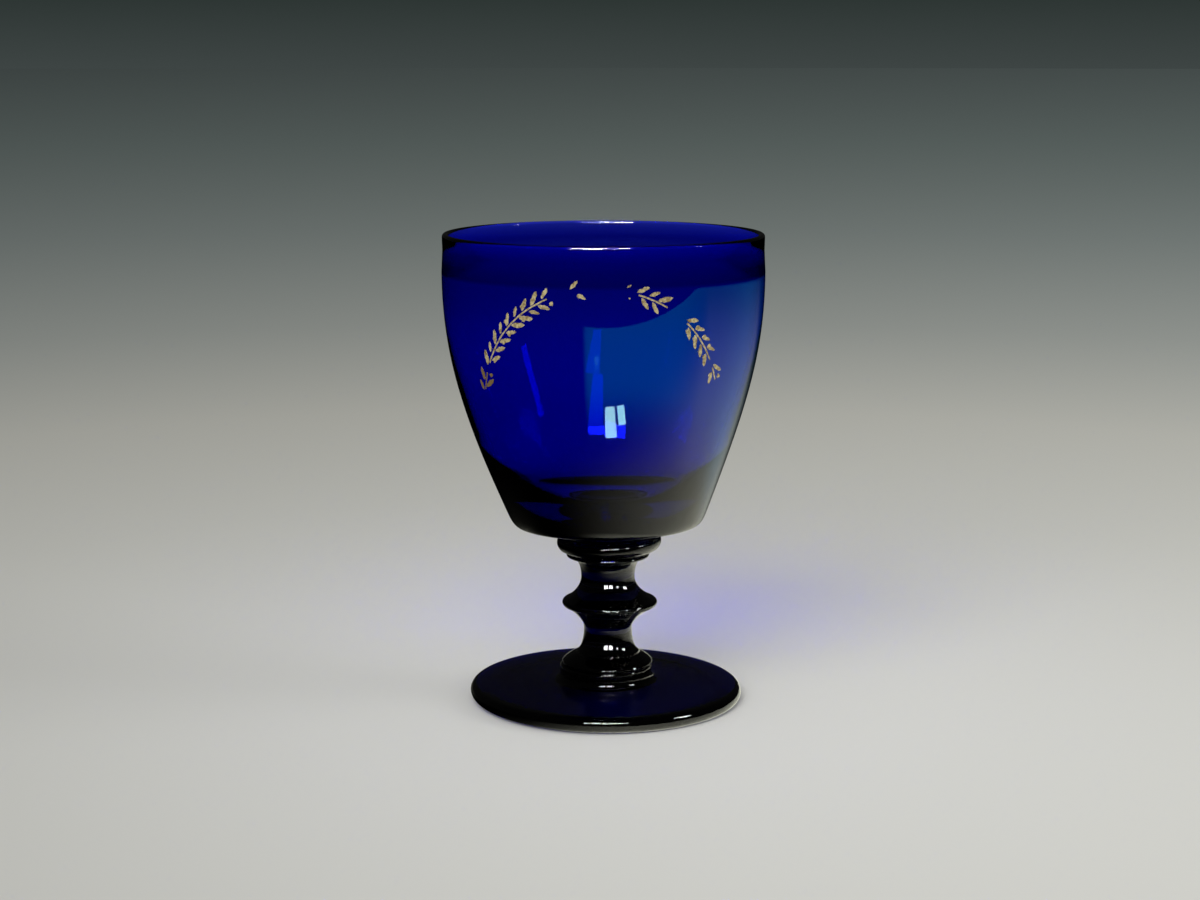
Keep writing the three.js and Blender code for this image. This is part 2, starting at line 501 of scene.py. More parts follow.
@dataclass(frozen=True)
class HandLean:
    """How far a gather strays from a true turning, because it was stuck on and trued up by hand.

    The gather stands aside by settled, and by settled + start at its foot. Its part beyond tip_from tips
    by tip_deg, fully from tip_full outwards, and less and less up to tip_height.
    """

    settled: float = 0.0
    start: float = 0.0
    settle_height: float = 18.0 * MM
    bulge: float = 0.0
    bulge_height: float = 0.0
    bulge_spread: float = 3.0 * MM
    tip_deg: float = 0.0
    tip_from: float = 8.0 * MM
    tip_full: float = 12.0 * MM
    tip_height: float = 60.0 * MM

    def aside(self, height: float) -> float:
        """Give how far the middle stands aside at a height over the gather's own foot."""
        bulge = self.bulge * math.exp(-(((height - self.bulge_height) / self.bulge_spread) ** 2))
        return self.settled + self.start * math.exp(-height / self.settle_height) + bulge

    def bend(self, solid: bmesh.types.BMesh, base: float) -> None:
        """Move a gather's points to where the hand left them.

        Args:
            solid: The gather, turned true.
            base: The height of its foot.
        """
        slope = math.tan(math.radians(self.tip_deg))
        for corner in solid.verts:
            out = (math.hypot(corner.co.x, corner.co.y) - self.tip_from) / (self.tip_full - self.tip_from)
            share = min(max(out, 0.0), 1.0)
            height = max(corner.co.z - base, 0.0)
            share *= max(1 - height / self.tip_height, 0.0)
            corner.co.z += slope * corner.co.x * share * share * (3 - 2 * share)
            corner.co.x += self.aside(height)


@dataclass
class Gather:
    """One gather of hot glass, turned on the axis and stuck on the one below.

    Neighbours lap by a hair, as the real ones are fused, so light passes the seam.
    """

    node: str = ""
    facets: int = 192
    lap: float = 0.02 * MM
    lean: HandLean = HandLean()
    glass: CobaltGlass = CobaltGlass()

    def base(self) -> float:
        """Give the height of the gather's foot in the frame."""
        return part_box(self.node)[0][2]

    def top(self) -> float:
        """Give the height of the gather's top in the frame."""
        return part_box(self.node)[1][2]

    def outline(self) -> Outline:
        """Draw the gather's half section.

        Returns:
            The outline, closed on the axis at both ends.
        """
        raise NotImplementedError

    def shape(self) -> bmesh.types.BMesh:
        """Turn the outline and give it the lean that the maker's hand left.

        Returns:
            The solid.
        """
        solid = self.outline().turned(self.facets)
        self.lean.bend(solid, self.base())
        return solid

    def build(self) -> bpy.types.Object:
        """Make the piece, dress it, and put it in the place of its solid.

        Returns:
            The piece.
        """
        finish = self.glass.material(f"cobalt_glass_{self.node}")
        piece = place_piece(f"glass_{self.node}", self.shape(), finish)
        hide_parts(self.node)
        return piece


@dataclass
class Foot(Gather):
    """The round foot: a disc with a low boss, a rounded edge and a slightly domed underside."""

    node: str = "foot"
    facets: int = 256
    glass: CobaltGlass = CobaltGlass(strength=2.3)
    radius: float = 36.5 * MM
    edge_thickness: float = 3.9 * MM
    slope_rise: float = 1.3 * MM
    boss_radius: float = 12.3 * MM
    boss_height: float = 1.5 * MM
    boss_fillet: float = 2.2 * MM
    rest_ring_width: float = 4.5 * MM
    underside_rise: float = 1.3 * MM
    pontil_radius: float = 7.0 * MM
    pontil_depth: float = 0.5 * MM
    sag: float = 0.3 * MM
    sag_from: float = 14.0 * MM

    def slope_touch_deg(self) -> float:
        """Give the angle at which the slope lies against the round edge."""
        run = self.radius - self.edge_thickness / 2 - self.boss_radius - self.boss_fillet
        rise = self.edge_thickness / 2 + self.slope_rise
        reach = math.hypot(run, rise)
        return math.degrees(math.atan2(rise, -run) - math.acos(self.edge_thickness / 2 / reach))

    def outline(self) -> Outline:
        """Draw the underside, the edge, the slope and the boss.

        Returns:
            The outline.
        """
        edge = self.edge_thickness / 2
        slope_top = self.edge_thickness + self.slope_rise
        rest_outer = self.radius - edge
        rest_inner = rest_outer - self.rest_ring_width
        scar = self.underside_rise + self.pontil_depth
        boss_edge = self.boss_height / 2
        shoulder = self.top() - boss_edge
        return (
            Outline(0, scar)
            .sweep([(self.pontil_radius, scar)], (self.pontil_radius, self.underside_rise), steps=10)
            .sweep([((self.pontil_radius + rest_inner) / 2, self.underside_rise)], (rest_inner, 0), steps=14)
            .arc((rest_outer, edge), edge, (-90, self.slope_touch_deg()), steps=20)
            .line(self.boss_radius + self.boss_fillet, slope_top)
            .sweep(
                [(self.boss_radius, slope_top)],
                (self.boss_radius, slope_top + self.boss_fillet),
                steps=12,
            )
            .line(self.boss_radius, shoulder)
            .sweep([(self.boss_radius, self.top())], (self.boss_radius - boss_edge, self.top()), steps=8)
            .line(0, self.top())
        )

    def shape(self) -> bmesh.types.BMesh:
        """Turn the foot, and let its right side sag to the table as the hot disc did.

        Returns:
            The solid.
        """
        solid = super().shape()
        for corner in solid.verts:
            out = math.hypot(corner.co.x, corner.co.y)
            share = min(max((out - self.sag_from) / (self.radius - self.sag_from), 0.0), 1.0)
            corner.co.z += self.sag * (1 - corner.co.x / self.radius) * share
        return solid


@dataclass
class FootCollar(Gather):
    """The low bun over the foot's boss."""

    node: str = "foot_collar"
    lean: HandLean = HandLean(settled=0.4 * MM)
    glass: CobaltGlass = CobaltGlass(strength=2.4)
    radius: float = 12.1 * MM
    edge_height: float = 0.5 * MM

    def outline(self) -> Outline:
        """Draw the bun, from the boss up to the stem.

        Returns:
            The outline.
        """
        low = self.base() - SEAM - self.lap
        high = self.top()
        inset = self.edge_height / 2
        edge_top = self.base() + self.edge_height
        return (
            Outline(0, low)
            .line(self.radius - inset, low)
            .sweep([(self.radius, self.base() - SEAM)], (self.radius, edge_top), steps=8)
            .sweep(
                [(self.radius - inset, edge_top + (high - self.base()) / 4)],
                (STEM_BOTTOM_RADIUS + inset, high),
                steps=12,
            )
            .line(0, high)
        )


@dataclass
class KnoppedStem(Gather):
    """The short stem, with a neck above and below its bladed knop."""

    node: str = "knopped_stem"
    lean: HandLean = HandLean(settled=0.55 * MM, bulge=0.5 * MM, bulge_height=13.3 * MM)
    glass: CobaltGlass = CobaltGlass(strength=2.0, ripple=Grain(3.2, 1.0, 0.4), ripple_depth_mm=0.05)
    lower_flare: float = 6.3 * MM
    lower_neck_radius: float = 6.45 * MM
    lower_neck_to_knop: float = 7.0 * MM
    knop_radius: float = 12.75 * MM
    knop_edge: float = 0.95 * MM
    knop_to_upper_neck: float = 7.0 * MM
    upper_neck_radius: float = 7.15 * MM
    upper_flare: float = 5.3 * MM
    top_radius: float = 9.4 * MM
    seat_spread: float = 0.3 * MM
    top_spread: float = 0.2 * MM
    blade_deg: float = 60.0

    def outline(self) -> Outline:
        """Draw the flares, the necks and the blade.

        Returns:
            The outline.
        """
        low = self.base()
        neck_low = low + self.lower_flare
        knop = neck_low + self.lower_neck_to_knop
        neck_high = knop + self.knop_to_upper_neck
        high = neck_high + self.upper_flare
        root = self.knop_radius - self.knop_edge
        mid_low = (self.lower_neck_radius + self.knop_radius) / 2
        mid_high = (self.upper_neck_radius + self.knop_radius) / 2
        return (
            Outline(0, low - SEAM - self.lap)
            .line(STEM_BOTTOM_RADIUS + self.seat_spread, low - SEAM - self.lap)
            .line(STEM_BOTTOM_RADIUS, low)
            .sweep(
                [(self.lower_neck_radius, low + self.lower_flare / 4)],
                (self.lower_neck_radius, neck_low),
                steps=14,
            )
            .sweep(
                [
                    (self.lower_neck_radius, neck_low + self.lower_neck_to_knop / 3),
                    (mid_low, knop - self.lower_neck_to_knop / 3),
                ],
                (root, knop - self.knop_edge),
                steps=18,
            )
            .arc((root, knop), self.knop_edge, (-self.blade_deg, self.blade_deg), steps=10)
            .sweep(
                [
                    (mid_high, knop + self.knop_to_upper_neck / 4),
                    (self.upper_neck_radius, neck_high - self.knop_to_upper_neck / 2.5),
                ],
                (self.upper_neck_radius, neck_high),
                steps=18,
            )
            .sweep([(self.upper_neck_radius, high - self.upper_flare / 5)], (self.top_radius, high), steps=14)
            .line(self.top_radius + self.top_spread, high + SEAM + self.lap)
            .line(0, high + SEAM + self.lap)
        )


@dataclass
class StemRing(Gather):
    """The thin ring between the stem and the bowl's collar."""

    node: str = "stem_ring"
    lean: HandLean = HandLean(settled=0.5 * MM)
    glass: CobaltGlass = CobaltGlass(strength=2.4)
    radius: float = 11.05 * MM
    edge_end_deg: float = 80.0

    def outline(self) -> Outline:
        """Draw the ring's rounded edge.

        Returns:
            The outline.
        """
        low, high = self.base(), self.top()
        edge = (high - low) / 2
        return (
            Outline(0, low)
            .arc((self.radius - edge, low + edge), edge, (-90, self.edge_end_deg), steps=12)
            .line(self.radius - edge, high + SEAM + self.lap)
            .line(0, high + SEAM + self.lap)
        )


@dataclass
class BowlCollar(Gather):
    """The wider disc under the bowl, with an upright band and a chamfered underside."""

    node: str = "bowl_collar"
    lean: HandLean = HandLean(settled=0.87 * MM, tip_deg=1.4)
    glass: CobaltGlass = CobaltGlass(strength=2.4)
    radius: float = 13.95 * MM
    chamfer_height: float = 1.9 * MM
    bottom_radius: float = 11.3 * MM
    edge_radius: float = 0.9 * MM

    def outline(self) -> Outline:
        """Draw the chamfer, the band and the flat top.

        Returns:
            The outline.
        """
        low, high = self.base(), self.top()
        shoulder = low + self.chamfer_height
        inset = self.radius - self.edge_radius
        return (
            Outline(0, low)
            .line(self.bottom_radius, low)
            .line(inset, shoulder - self.edge_radius)
            .sweep([(self.radius, shoulder)], (self.radius, shoulder + self.edge_radius), steps=8)
            .line(self.radius, high - self.edge_radius)
            .sweep([(self.radius, high)], (inset, high), steps=8)
            .line(0, high)
        )


@dataclass
class Bowl(Gather):
    """The blown bowl: thin and rolled at the lip, full at the belly and very thick at the bottom."""

    node: str = "bowl"
    facets: int = 256
    lean: HandLean = HandLean(
        settled=-0.7 * MM,
        start=1.5 * MM,
        tip_deg=0.9,
        tip_from=9.0 * MM,
        tip_full=14.0 * MM,
        tip_height=14.0 * MM,
    )
    pad_radius: float = 8.0 * MM
    pad_height: float = 1.1 * MM
    underside_drop: float = 2.8 * MM
    bottom_radius: float = 24.4 * MM
    corner_width: float = 2.1 * MM
    corner_height: float = 2.9 * MM
    wall_tilt_deg: float = 22.2
    wall_fullness: float = 0.48
    belly_radius: float = 42.4 * MM
    belly_fullness: float = 0.32
    shoulder_height: float = 5.6 * MM
    waist_radius: float = 42.1 * MM
    lip_radius: float = 42.2 * MM
    lip_height: float = 4.3 * MM
    lip_thickness: float = 1.7 * MM
    waist_wall: float = 2.5 * MM
    belly_wall: float = 1.55 * MM
    base_thickness: float = 4.8 * MM
    inner_turn_radius: float = 31.6 * MM
    inner_turn_height: float = 28.2 * MM
    floor_bend_radius: float = 22.9 * MM

    def outline(self) -> Outline:
        """Draw the outside from the pad to the lip, then the inside down to the floor of the bowl.

        Returns:
            The outline.
        """
        base = self.base()
        bottom = base + self.pad_height + self.underside_drop
        wall_foot = (self.bottom_radius + self.corner_width, bottom + self.corner_height)
        waist = self.top() - self.lip_height
        belly = waist - self.shoulder_height
        wall_height = belly - wall_foot[1]
        reach = self.wall_fullness * wall_height
        tilt = math.radians(self.wall_tilt_deg)
        lip = self.lip_thickness / 2
        inner = self.belly_radius - self.belly_wall
        turn = (self.inner_turn_radius, base + self.inner_turn_height)
        inner_reach = self.wall_fullness * (belly - turn[1])
        floor = base + self.base_thickness
        low = base - SEAM - self.lap
        corner_pull = wall_foot[0] - self.corner_height * math.tan(tilt)
        return (
            Outline(0, low)
            .line(self.pad_radius, low)
            .sweep(
                [(self.pad_radius, base + self.pad_height)],
                (self.pad_radius + self.pad_height, base + self.pad_height),
                steps=8,
            )
            .line(self.bottom_radius, bottom)
            .sweep([(corner_pull, bottom)], wall_foot, steps=14)
            .sweep(
                [
                    (wall_foot[0] + reach * math.sin(tilt), wall_foot[1] + reach * math.cos(tilt)),
                    (self.belly_radius, belly - self.belly_fullness * wall_height),
                ],
                (self.belly_radius, belly),
                steps=48,
            )
            .line(self.waist_radius, waist)
            .arc((self.lip_radius - lip, self.top() - lip), lip, (0, 180), steps=18)
            .line(self.waist_radius - self.waist_wall, waist)
            .line(inner, belly)
            .sweep(
                [
                    (inner, belly - self.belly_fullness * (belly - turn[1])),
                    (turn[0] + inner_reach * math.sin(tilt), turn[1] + inner_reach * math.cos(tilt)),
                ],
                turn,
                steps=40,
            )
            .sweep([(self.floor_bend_radius, floor)], (0, floor), steps=40)
        )


@dataclass(frozen=True)
class Spray:
    """A stretch of the garland that the washing has left, measured in degrees along its arch."""

    name: str
    start_deg: float
    end_deg: float
    stalk: bool = True
    rubbed: bool = False
    size: float = 1.0


@dataclass
class Garland:
    """The gilt garland on the bowl's front: leaves and berries on a stalk bent into an arch.

    Only some sprays of it are left, and what is left has ragged edges.
    """

    bowl: Bowl
    gold: WornGilding = WornGilding()
    rubbed_gold: WornGilding = WornGilding(thin_share=0.75)
    film_stand: float = 0.04 * MM
    film_thickness: float = 0.06 * MM
    arch_radius: float = 33.5 * MM
    arch_top: float = 115.0 * MM
    arch_aside: float = -1.2 * MM
    leaf_length: float = 3.7 * MM
    leaf_width: float = 1.15 * MM
    leaf_pitch_deg: float = 5.2
    leaf_splay_deg: float = 38.0
    leaf_stand: float = 0.42
    leaf_blunt: float = 0.6
    leaf_least: float = 0.75
    leaf_spread: float = 0.35
    stalk_width: float = 0.42 * MM
    stalk_step_deg: float = 1.2
    berry_radius: float = 0.55 * MM
    berry_share: float = 0.5
    berry_stand: float = 0.9
    rag: float = 0.5
    dice: random.Random = field(default_factory=lambda: random.Random(7))
    sprays: tuple[Spray, ...] = (
        Spray("gilt_spray_far_left", -79, -71, rubbed=True),
        Spray("gilt_spray_left", -66, -23),
        Spray("gilt_spray_crown", -11.5, -7.5, stalk=False, size=0.75),
        Spray("gilt_fleck_crown", 11, 12.5, stalk=False, size=0.4),
        Spray("gilt_spray_right", 17, 31),
        Spray("gilt_spray_low_right", 43, 64),
        Spray("gilt_spray_far_right", 68, 74),
    )

    def leaf(
        self, film: bmesh.types.BMesh, middle: tuple[float, float], turn_deg: float, size: float
    ) -> None:
        """Lay one pointed leaf flat, before the film is bent over the bowl.

        Args:
            film: The flat film, which gets the leaf.
            middle: Where the leaf's middle goes.
            turn_deg: Which way the leaf points, from the stalk's direction at the crown.
            size: The leaf's size, where 1 is a whole leaf.
        """
        made = bmesh.ops.create_grid(film, x_segments=8, y_segments=2, size=1.0)["verts"]
        long, wide = self.leaf_length / 2 * size, self.leaf_width / 2 * size
        for corner in made:
            along = corner.co.x
            ragged = 1 + self.rag * (self.dice.random() - 0.5)
            full = max(1 - along * along, 0.0) ** self.leaf_blunt * ragged
            corner.co = Vector((along * long, corner.co.y * wide * full, 0))
        bmesh.ops.rotate(film, verts=made, matrix=Matrix.Rotation(math.radians(turn_deg), 3, "Z"))
        bmesh.ops.translate(film, verts=made, vec=(middle[0], middle[1], 0))

    def berry(self, film: bmesh.types.BMesh, middle: tuple[float, float], size: float) -> None:
        """Lay one round berry flat.

        Args:
            film: The flat film, which gets the berry.
            middle: Where the berry goes.
            size: The berry's size, where 1 is a whole berry.
        """
        made = bmesh.ops.create_circle(
            film, cap_ends=True, cap_tris=True, radius=self.berry_radius * size, segments=10
        )
        for corner in made["verts"]:
            corner.co *= 1 + self.rag * (self.dice.random() - 0.5)
        bmesh.ops.translate(film, verts=made["verts"], vec=(middle[0], middle[1], 0))

    def on_arch(self, turn_deg: float, out: float) -> tuple[float, float]:
        """Give the flat place of a point on the arch.

        Args:
            turn_deg: How far along the arch it is, from the crown.
            out: How far outside the arch it lies.

        Returns:
            Its place across and up, from the height of the arch's crown.
        """
        turn = math.radians(turn_deg)
        radius = self.arch_radius + out
        return (self.arch_aside + radius * math.sin(turn), radius * math.cos(turn) - self.arch_radius)

    def stalk(self, film: bmesh.types.BMesh, spray: Spray) -> None:
        """Lay the stretch of stalk that a spray still has.

        Args:
            film: The flat film, which gets the stalk.
            spray: The spray.
        """
        steps = max(int((spray.end_deg - spray.start_deg) / self.stalk_step_deg), 3)
        made = bmesh.ops.create_grid(film, x_segments=steps, y_segments=1, size=1.0)["verts"]
        for corner in made:
            turn = spray.start_deg + (corner.co.x + 1) / 2 * (spray.end_deg - spray.start_deg)
            thick = self.stalk_width / 2 * (1 + self.rag * (self.dice.random() - 0.5))
            across, up = self.on_arch(turn, corner.co.y * thick)
            corner.co = Vector((across, up, 0))

    def lay_over_bowl(self, film: bmesh.types.BMesh, outline: Outline) -> None:
        """Bend the flat film over the bowl's outside and give it its thickness.

        Args:
            film: The flat film.
            outline: The bowl's half section.
        """
        for corner in film.verts:
            height = self.arch_top + corner.co.y
            radius = outline.radius_at(height) + self.film_stand
            turn = corner.co.x / radius
            corner.co = Vector((radius * math.sin(turn), -radius * math.cos(turn), height))
        bmesh.ops.remove_doubles(film, verts=film.verts, dist=FILM_WELD)
        bmesh.ops.dissolve_degenerate(film, dist=FILM_WELD, edges=film.edges)
        bmesh.ops.recalc_face_normals(film, faces=film.faces)
        for face in film.faces:
            middle = face.calc_center_median()
            if face.normal.x * middle.x + face.normal.y * middle.y < 0:
                face.normal_flip()
        bmesh.ops.solidify(film, geom=film.faces, thickness=self.film_thickness)
        bmesh.ops.recalc_face_normals(film, faces=film.faces)
        self.bowl.lean.bend(film, self.bowl.base())

    def build(self) -> None:
        """Lay every spray that is left, with its leaves in pairs and a berry between them."""
        outline = self.bowl.outline()
        finish = self.gold.material("worn_gilding")
        rubbed = self.rubbed_gold.material("rubbed_gilding")
        for spray in self.sprays:
            film = bmesh.new()
            if spray.stalk:
                self.stalk(film, spray)
            turn = spray.start_deg + self.leaf_pitch_deg / 4
            side = 1
            while turn < spray.end_deg:
                out = side * self.leaf_length * self.leaf_stand
                size = spray.size * (self.leaf_least + self.leaf_spread * self.dice.random())
                self.leaf(film, self.on_arch(turn, out), -turn + side * self.leaf_splay_deg, size)
                if self.dice.random() < self.berry_share:
                    place = self.on_arch(turn + self.leaf_pitch_deg / 4, -out * self.berry_stand)
                    self.berry(film, place, spray.size)
                turn += self.leaf_pitch_deg / 2
                side = -side
            self.lay_over_bowl(film, outline)
            place_piece(spray.name, film, rubbed if spray.rubbed else finish, smooth=False)


class Shows(Enum):
    """The pieces that a lamp or a card shows in, or none for a lamp that only lights."""

    NONE = ()
    BOWL = ("bowl",)
    STEM = ("foot_collar", "knopped_stem", "stem_ring", "bowl_collar")
    FOOT = ("foot",)


@dataclass(frozen=True)
class Lamp:
    """A flat lamp: its direction and height from the glass in degrees, its spread in degrees, and its glow.

    A lamp that shows in the glass lights nothing else, but for what comes through the glass where through
    is set. The others light, and don't show.
    """

    name: str
    azimuth_deg: float
    elevation_deg: float
    wide_deg: float
    high_deg: float
    radiance: float
    shows: Shows = Shows.NONE
    through: bool = True


@dataclass(frozen=True)
class Card:
    """A small bright card lying in front of the glass, which only the bowl mirrors."""

    name: str
    middle: tuple[float, float]
    size: tuple[float, float]
    glow: tuple[float, float, float]


class TablePoint(NamedTuple):
    """A point of the table: its place, how far off it lies, and how far to the right and to the front."""

    place: Socket
    away: Socket
    right: Socket
    front: Socket


@dataclass
class Studio:
    """A plain pale floor with painted shade and light, darker with distance and lighter to the right, painted
    reflections for the glass, soft light and the photograph's viewpoint.
    """

    pieces: dict[str, bpy.types.Object]
    floor_radius: float = 14.0
    floor_facets: int = 96
    floor_height: float = -0.03 * MM
    cool_facets: int = 64
    cool_height: float = 0.2 * MM
    card_height: float = 0.5 * MM
    half_way: float = 0.6
    # Painted shade: the floor's colour goes from pale near the glass to dim far off, where the lamps' light
    # falls off
    tones: tuple[tuple[float, str], ...] = (
        (0.00, "#e3e3df"),
        (0.12, "#dbdbd6"),
        (0.31, "#c7c7c0"),
        (0.45, "#bbbbb3"),
        (0.58, "#9fa39e"),
        (0.72, "#868e8b"),
        (0.85, "#707b78"),
        (1.00, "#525b5a"),
    )
    # Painted light: the floor's colour is made lighter towards the right, as the lamps light it more there
    painted_light_drift: tuple[float, float] = (0.95, 1.2)
    drift_reach: float = 0.26
    drift_soft: float = 150 * MM
    room_low: str = "#3e4544"
    room_high: str = "#2e3634"
    room_rise: tuple[float, float] = (-0.012, 0.017)
    ambient: float = 0.45
    glossy_room: float = 0.012
    # Painted reflection of the paper in the glass: a glow shown to mirrored rays only; near_reach and
    # near_side below belong to it too
    sheen: tuple[float, float, float] = (1.15, 1.15, 0.95)
    sheen_from_deg: float = 20.0
    sheen_spread: float = 1.4
    sheen_start: float = 75 * MM
    sheen_side: float = 0.92
    sheen_fade_right: float = 4.0
    sheen_fade_left: float = 96.0
    # Painted bluish reflection: a glow that only the bowl mirrors, from a clear sheet over the table
    cool: tuple[float, float, float] = (0.0, 0.6, 1.3)
    near_reach: tuple[float, float] = (45 * MM, 62 * MM)
    near_side: tuple[float, float] = (-0.7, 0.3)
    cool_near: tuple[float, float] = (100 * MM, 190 * MM)
    cool_side: tuple[float, float] = (-0.26, -0.18)
    cool_fade: tuple[float, float] = (0.75, 1.25)
    cool_front: tuple[float, float] = (-1.0, 0.0)
    paper_front: tuple[float, float] = (400 * MM, 415 * MM)
    paper_reach: tuple[float, float] = (1000 * MM, 1300 * MM)
    lamp_distance: float = 2.0
    lamp_aim: float = 70 * MM
    lamps: tuple[Lamp, ...] = (
        Lamp("window_left_pane", -9.0, 20, 17, 20, 30.0, Shows.STEM),
        Lamp("window_right_pane", 12.5, 20, 15, 20, 30.0, Shows.STEM),
        Lamp("small_window", 42, 20, 6, 6, 30.0, Shows.STEM),
        Lamp("high_left_pane", -13.5, 46, 20, 10, 190.0, Shows.BOWL, through=False),
        Lamp("high_right_pane", 11.5, 46, 15, 6, 180.0, Shows.BOWL, through=False),
        Lamp("high_soft_pane", -13.5, 46, 20, 10, 7.0, Shows.BOWL),
        Lamp("side_window", 76, 22, 13, 10, 30.0, Shows.STEM),
        Lamp("low_left_pane", -9.0, 36, 17, 12, 30.0, Shows.FOOT),
        Lamp("low_right_pane", 12.5, 36, 15, 12, 30.0, Shows.FOOT),
        Lamp("low_side_window", 76, 34, 13, 10, 30.0, Shows.FOOT),
        Lamp("side_window_gap", 73, 22, 6, 9, 14.0, Shows.BOWL),
        Lamp("key_softbox", -20, 36, 36, 36, 4.2),
        Lamp("side_softbox", 80, 24, 24, 24, 3.0),
    )
    cards: tuple[Card, ...] = (
        Card("sky_strip_far", (-29 * MM, -300 * MM), (36 * MM, 190 * MM), (0.0, 0.0, 4.5)),
        Card("sky_strip_near", (-15 * MM, -160 * MM), (25 * MM, 90 * MM), (0.0, 0.0, 7.0)),
        Card("sky_gap", (-20 * MM, -220 * MM), (11 * MM, 70 * MM), (1.2, 6.0, 5.0)),
        Card("bright_pane_left", (10 * MM, -129 * MM), (18 * MM, 34 * MM), (6.5, 13.0, 13.0)),
        Card("bright_pane_right", (30 * MM, -134 * MM), (13 * MM, 24 * MM), (6.0, 13.0, 14.0)),
    )
    camera_distance: float = 602.0 * MM
    camera_height: float = 175.1 * MM
    camera_pitch_deg: float = 10.12

    def sheet(
        self, name: str, radius: float, facets: int, height: float, finish: bpy.types.Material
    ) -> bpy.types.Object:
        """Lay one round flat sheet.

        Args:
            name: The sheet's name.
            radius: Its radius.
            facets: How many sides its edge has.
            height: How high it lies.
            finish: Its material.

        Returns:
            The sheet.
        """
        disc = bmesh.new()
        bmesh.ops.create_circle(disc, cap_ends=True, radius=radius, segments=facets)
        bmesh.ops.translate(disc, verts=disc.verts, vec=(0, 0, height))
        mesh = bpy.data.meshes.new(name)
        disc.to_mesh(mesh)
        disc.free()
        mesh.materials.append(finish)
        sheet = bpy.data.objects.new(name, mesh)
        bpy.context.collection.objects.link(sheet)
        return sheet

    def show_only_in(self, holder: bpy.types.Object, shows: Shows) -> None:
        """Let a lamp or a glowing sheet reach only some pieces of the glass.

        Args:
            holder: The lamp or the sheet.
            shows: The pieces that it shows in.
        """
        mirrors = bpy.data.collections.new(f"mirrors_of_{holder.name}")
        for node in shows.value:
            mirrors.objects.link(self.pieces[node])
        holder.light_linking.receiver_collection = mirrors

    def table_point(self, nodes: Nodes) -> TablePoint:
        """Work out where a point of the table lies.

        Args:
            nodes: The nodes of the table's material.

        Returns:
            The point.
        """
        place = nodes.place()
        parts = nodes.add("ShaderNodeSeparateXYZ", inputs={"Vector": place}).outputs
        return TablePoint(place, nodes.length(place), parts["X"], nodes.maths("MULTIPLY", parts["Y"], -1.0))

    def paper(self) -> bpy.types.Material:
        """Make the matt paper that the glass stands on, painted pale near it and dim far off and lighter to
        the right, as painted shade and light where the lamps' light falls off.

        What the glass mirrors of it is a painted reflection, a glow that is dark on the left and pale on the
        right, as the room round the real paper was.

        Returns:
            The material.
        """
        material = bpy.data.materials.new("paper_with_painted_light")
        nodes = Nodes(material)
        point = self.table_point(nodes)
        # Painted shade: the paper's colour darkens with distance from the glass
        share = nodes.maths("DIVIDE", point.away, nodes.maths("ADD", point.away, self.half_way))
        ahead = nodes.maths("SUBTRACT", self.camera_distance, point.front)
        slant = nodes.add("ShaderNodeCombineXYZ", inputs={"X": ahead, "Y": self.drift_soft})
        fan = nodes.maths("DIVIDE", point.right, nodes.length(slant.outputs["Vector"]))
        # Painted light: the paper's colour grows lighter towards the right
        painted_light_drift = nodes.span(fan, (-self.drift_reach, self.drift_reach), self.painted_light_drift)
        shade = nodes.scaled(nodes.ramp(share, self.tones), painted_light_drift)
        matt = nodes.add("ShaderNodeBsdfDiffuse", inputs={"Color": shade, "Roughness": 0.0})
        # Painted reflection: the paper glows for mirrored rays instead of showing its lit colour
        sheen = nodes.add("ShaderNodeEmission", inputs={"Color": self.painted_paper_reflection(nodes, point)})
        both = nodes.mixed(nodes.mirrored_ray(), matt.outputs["BSDF"], sheen.outputs["Emission"])
        nodes.add("ShaderNodeOutputMaterial", inputs={"Surface": both})
        return material

    def painted_paper_reflection(self, nodes: Nodes, point: TablePoint) -> Socket:
        """Work out the painted reflection that the glass mirrors of the paper, a glow in place of the room it
        stands for.

        It is pale towards the right-hand window and close by the foot, dark on the left, and it ends at
        the paper's front edge.

        Args:
            nodes: The nodes of the paper's material.
            point: The point on the paper.

        Returns:
            The colour, which may be over 1.
        """
        turn = math.radians(self.sheen_from_deg)
        ways = {0: point.place, 1: (math.cos(turn) / 2, math.sin(turn) / 2, 0.0)}
        reach = nodes.add("ShaderNodeVectorMath", {"operation": "DOT_PRODUCT"}, ways).outputs["Value"]
        side = nodes.maths("ADD", nodes.maths("DIVIDE", reach, point.away), 0.5)
        fade = nodes.span(side, (0.0, self.sheen_side), (-self.sheen_fade_left, -self.sheen_fade_right))
        beyond = nodes.maths("MAXIMUM", nodes.maths("SUBTRACT", point.away, self.sheen_start), 0.0)
        drop = nodes.maths("EXPONENT", nodes.maths("MULTIPLY", fade, beyond))
        grey = nodes.maths("MULTIPLY", nodes.maths("POWER", side, self.sheen_spread), drop)
        rightness = nodes.maths("DIVIDE", point.right, point.away)
        near = nodes.steps((point.away, self.near_reach[::-1]), (rightness, self.near_side))
        paper = nodes.steps((point.front, self.paper_front[::-1]), (point.away, self.paper_reach[::-1]))
        level = nodes.maths("MULTIPLY", nodes.maths("MAXIMUM", grey, near), paper)
        return nodes.scaled(self.sheen, level)

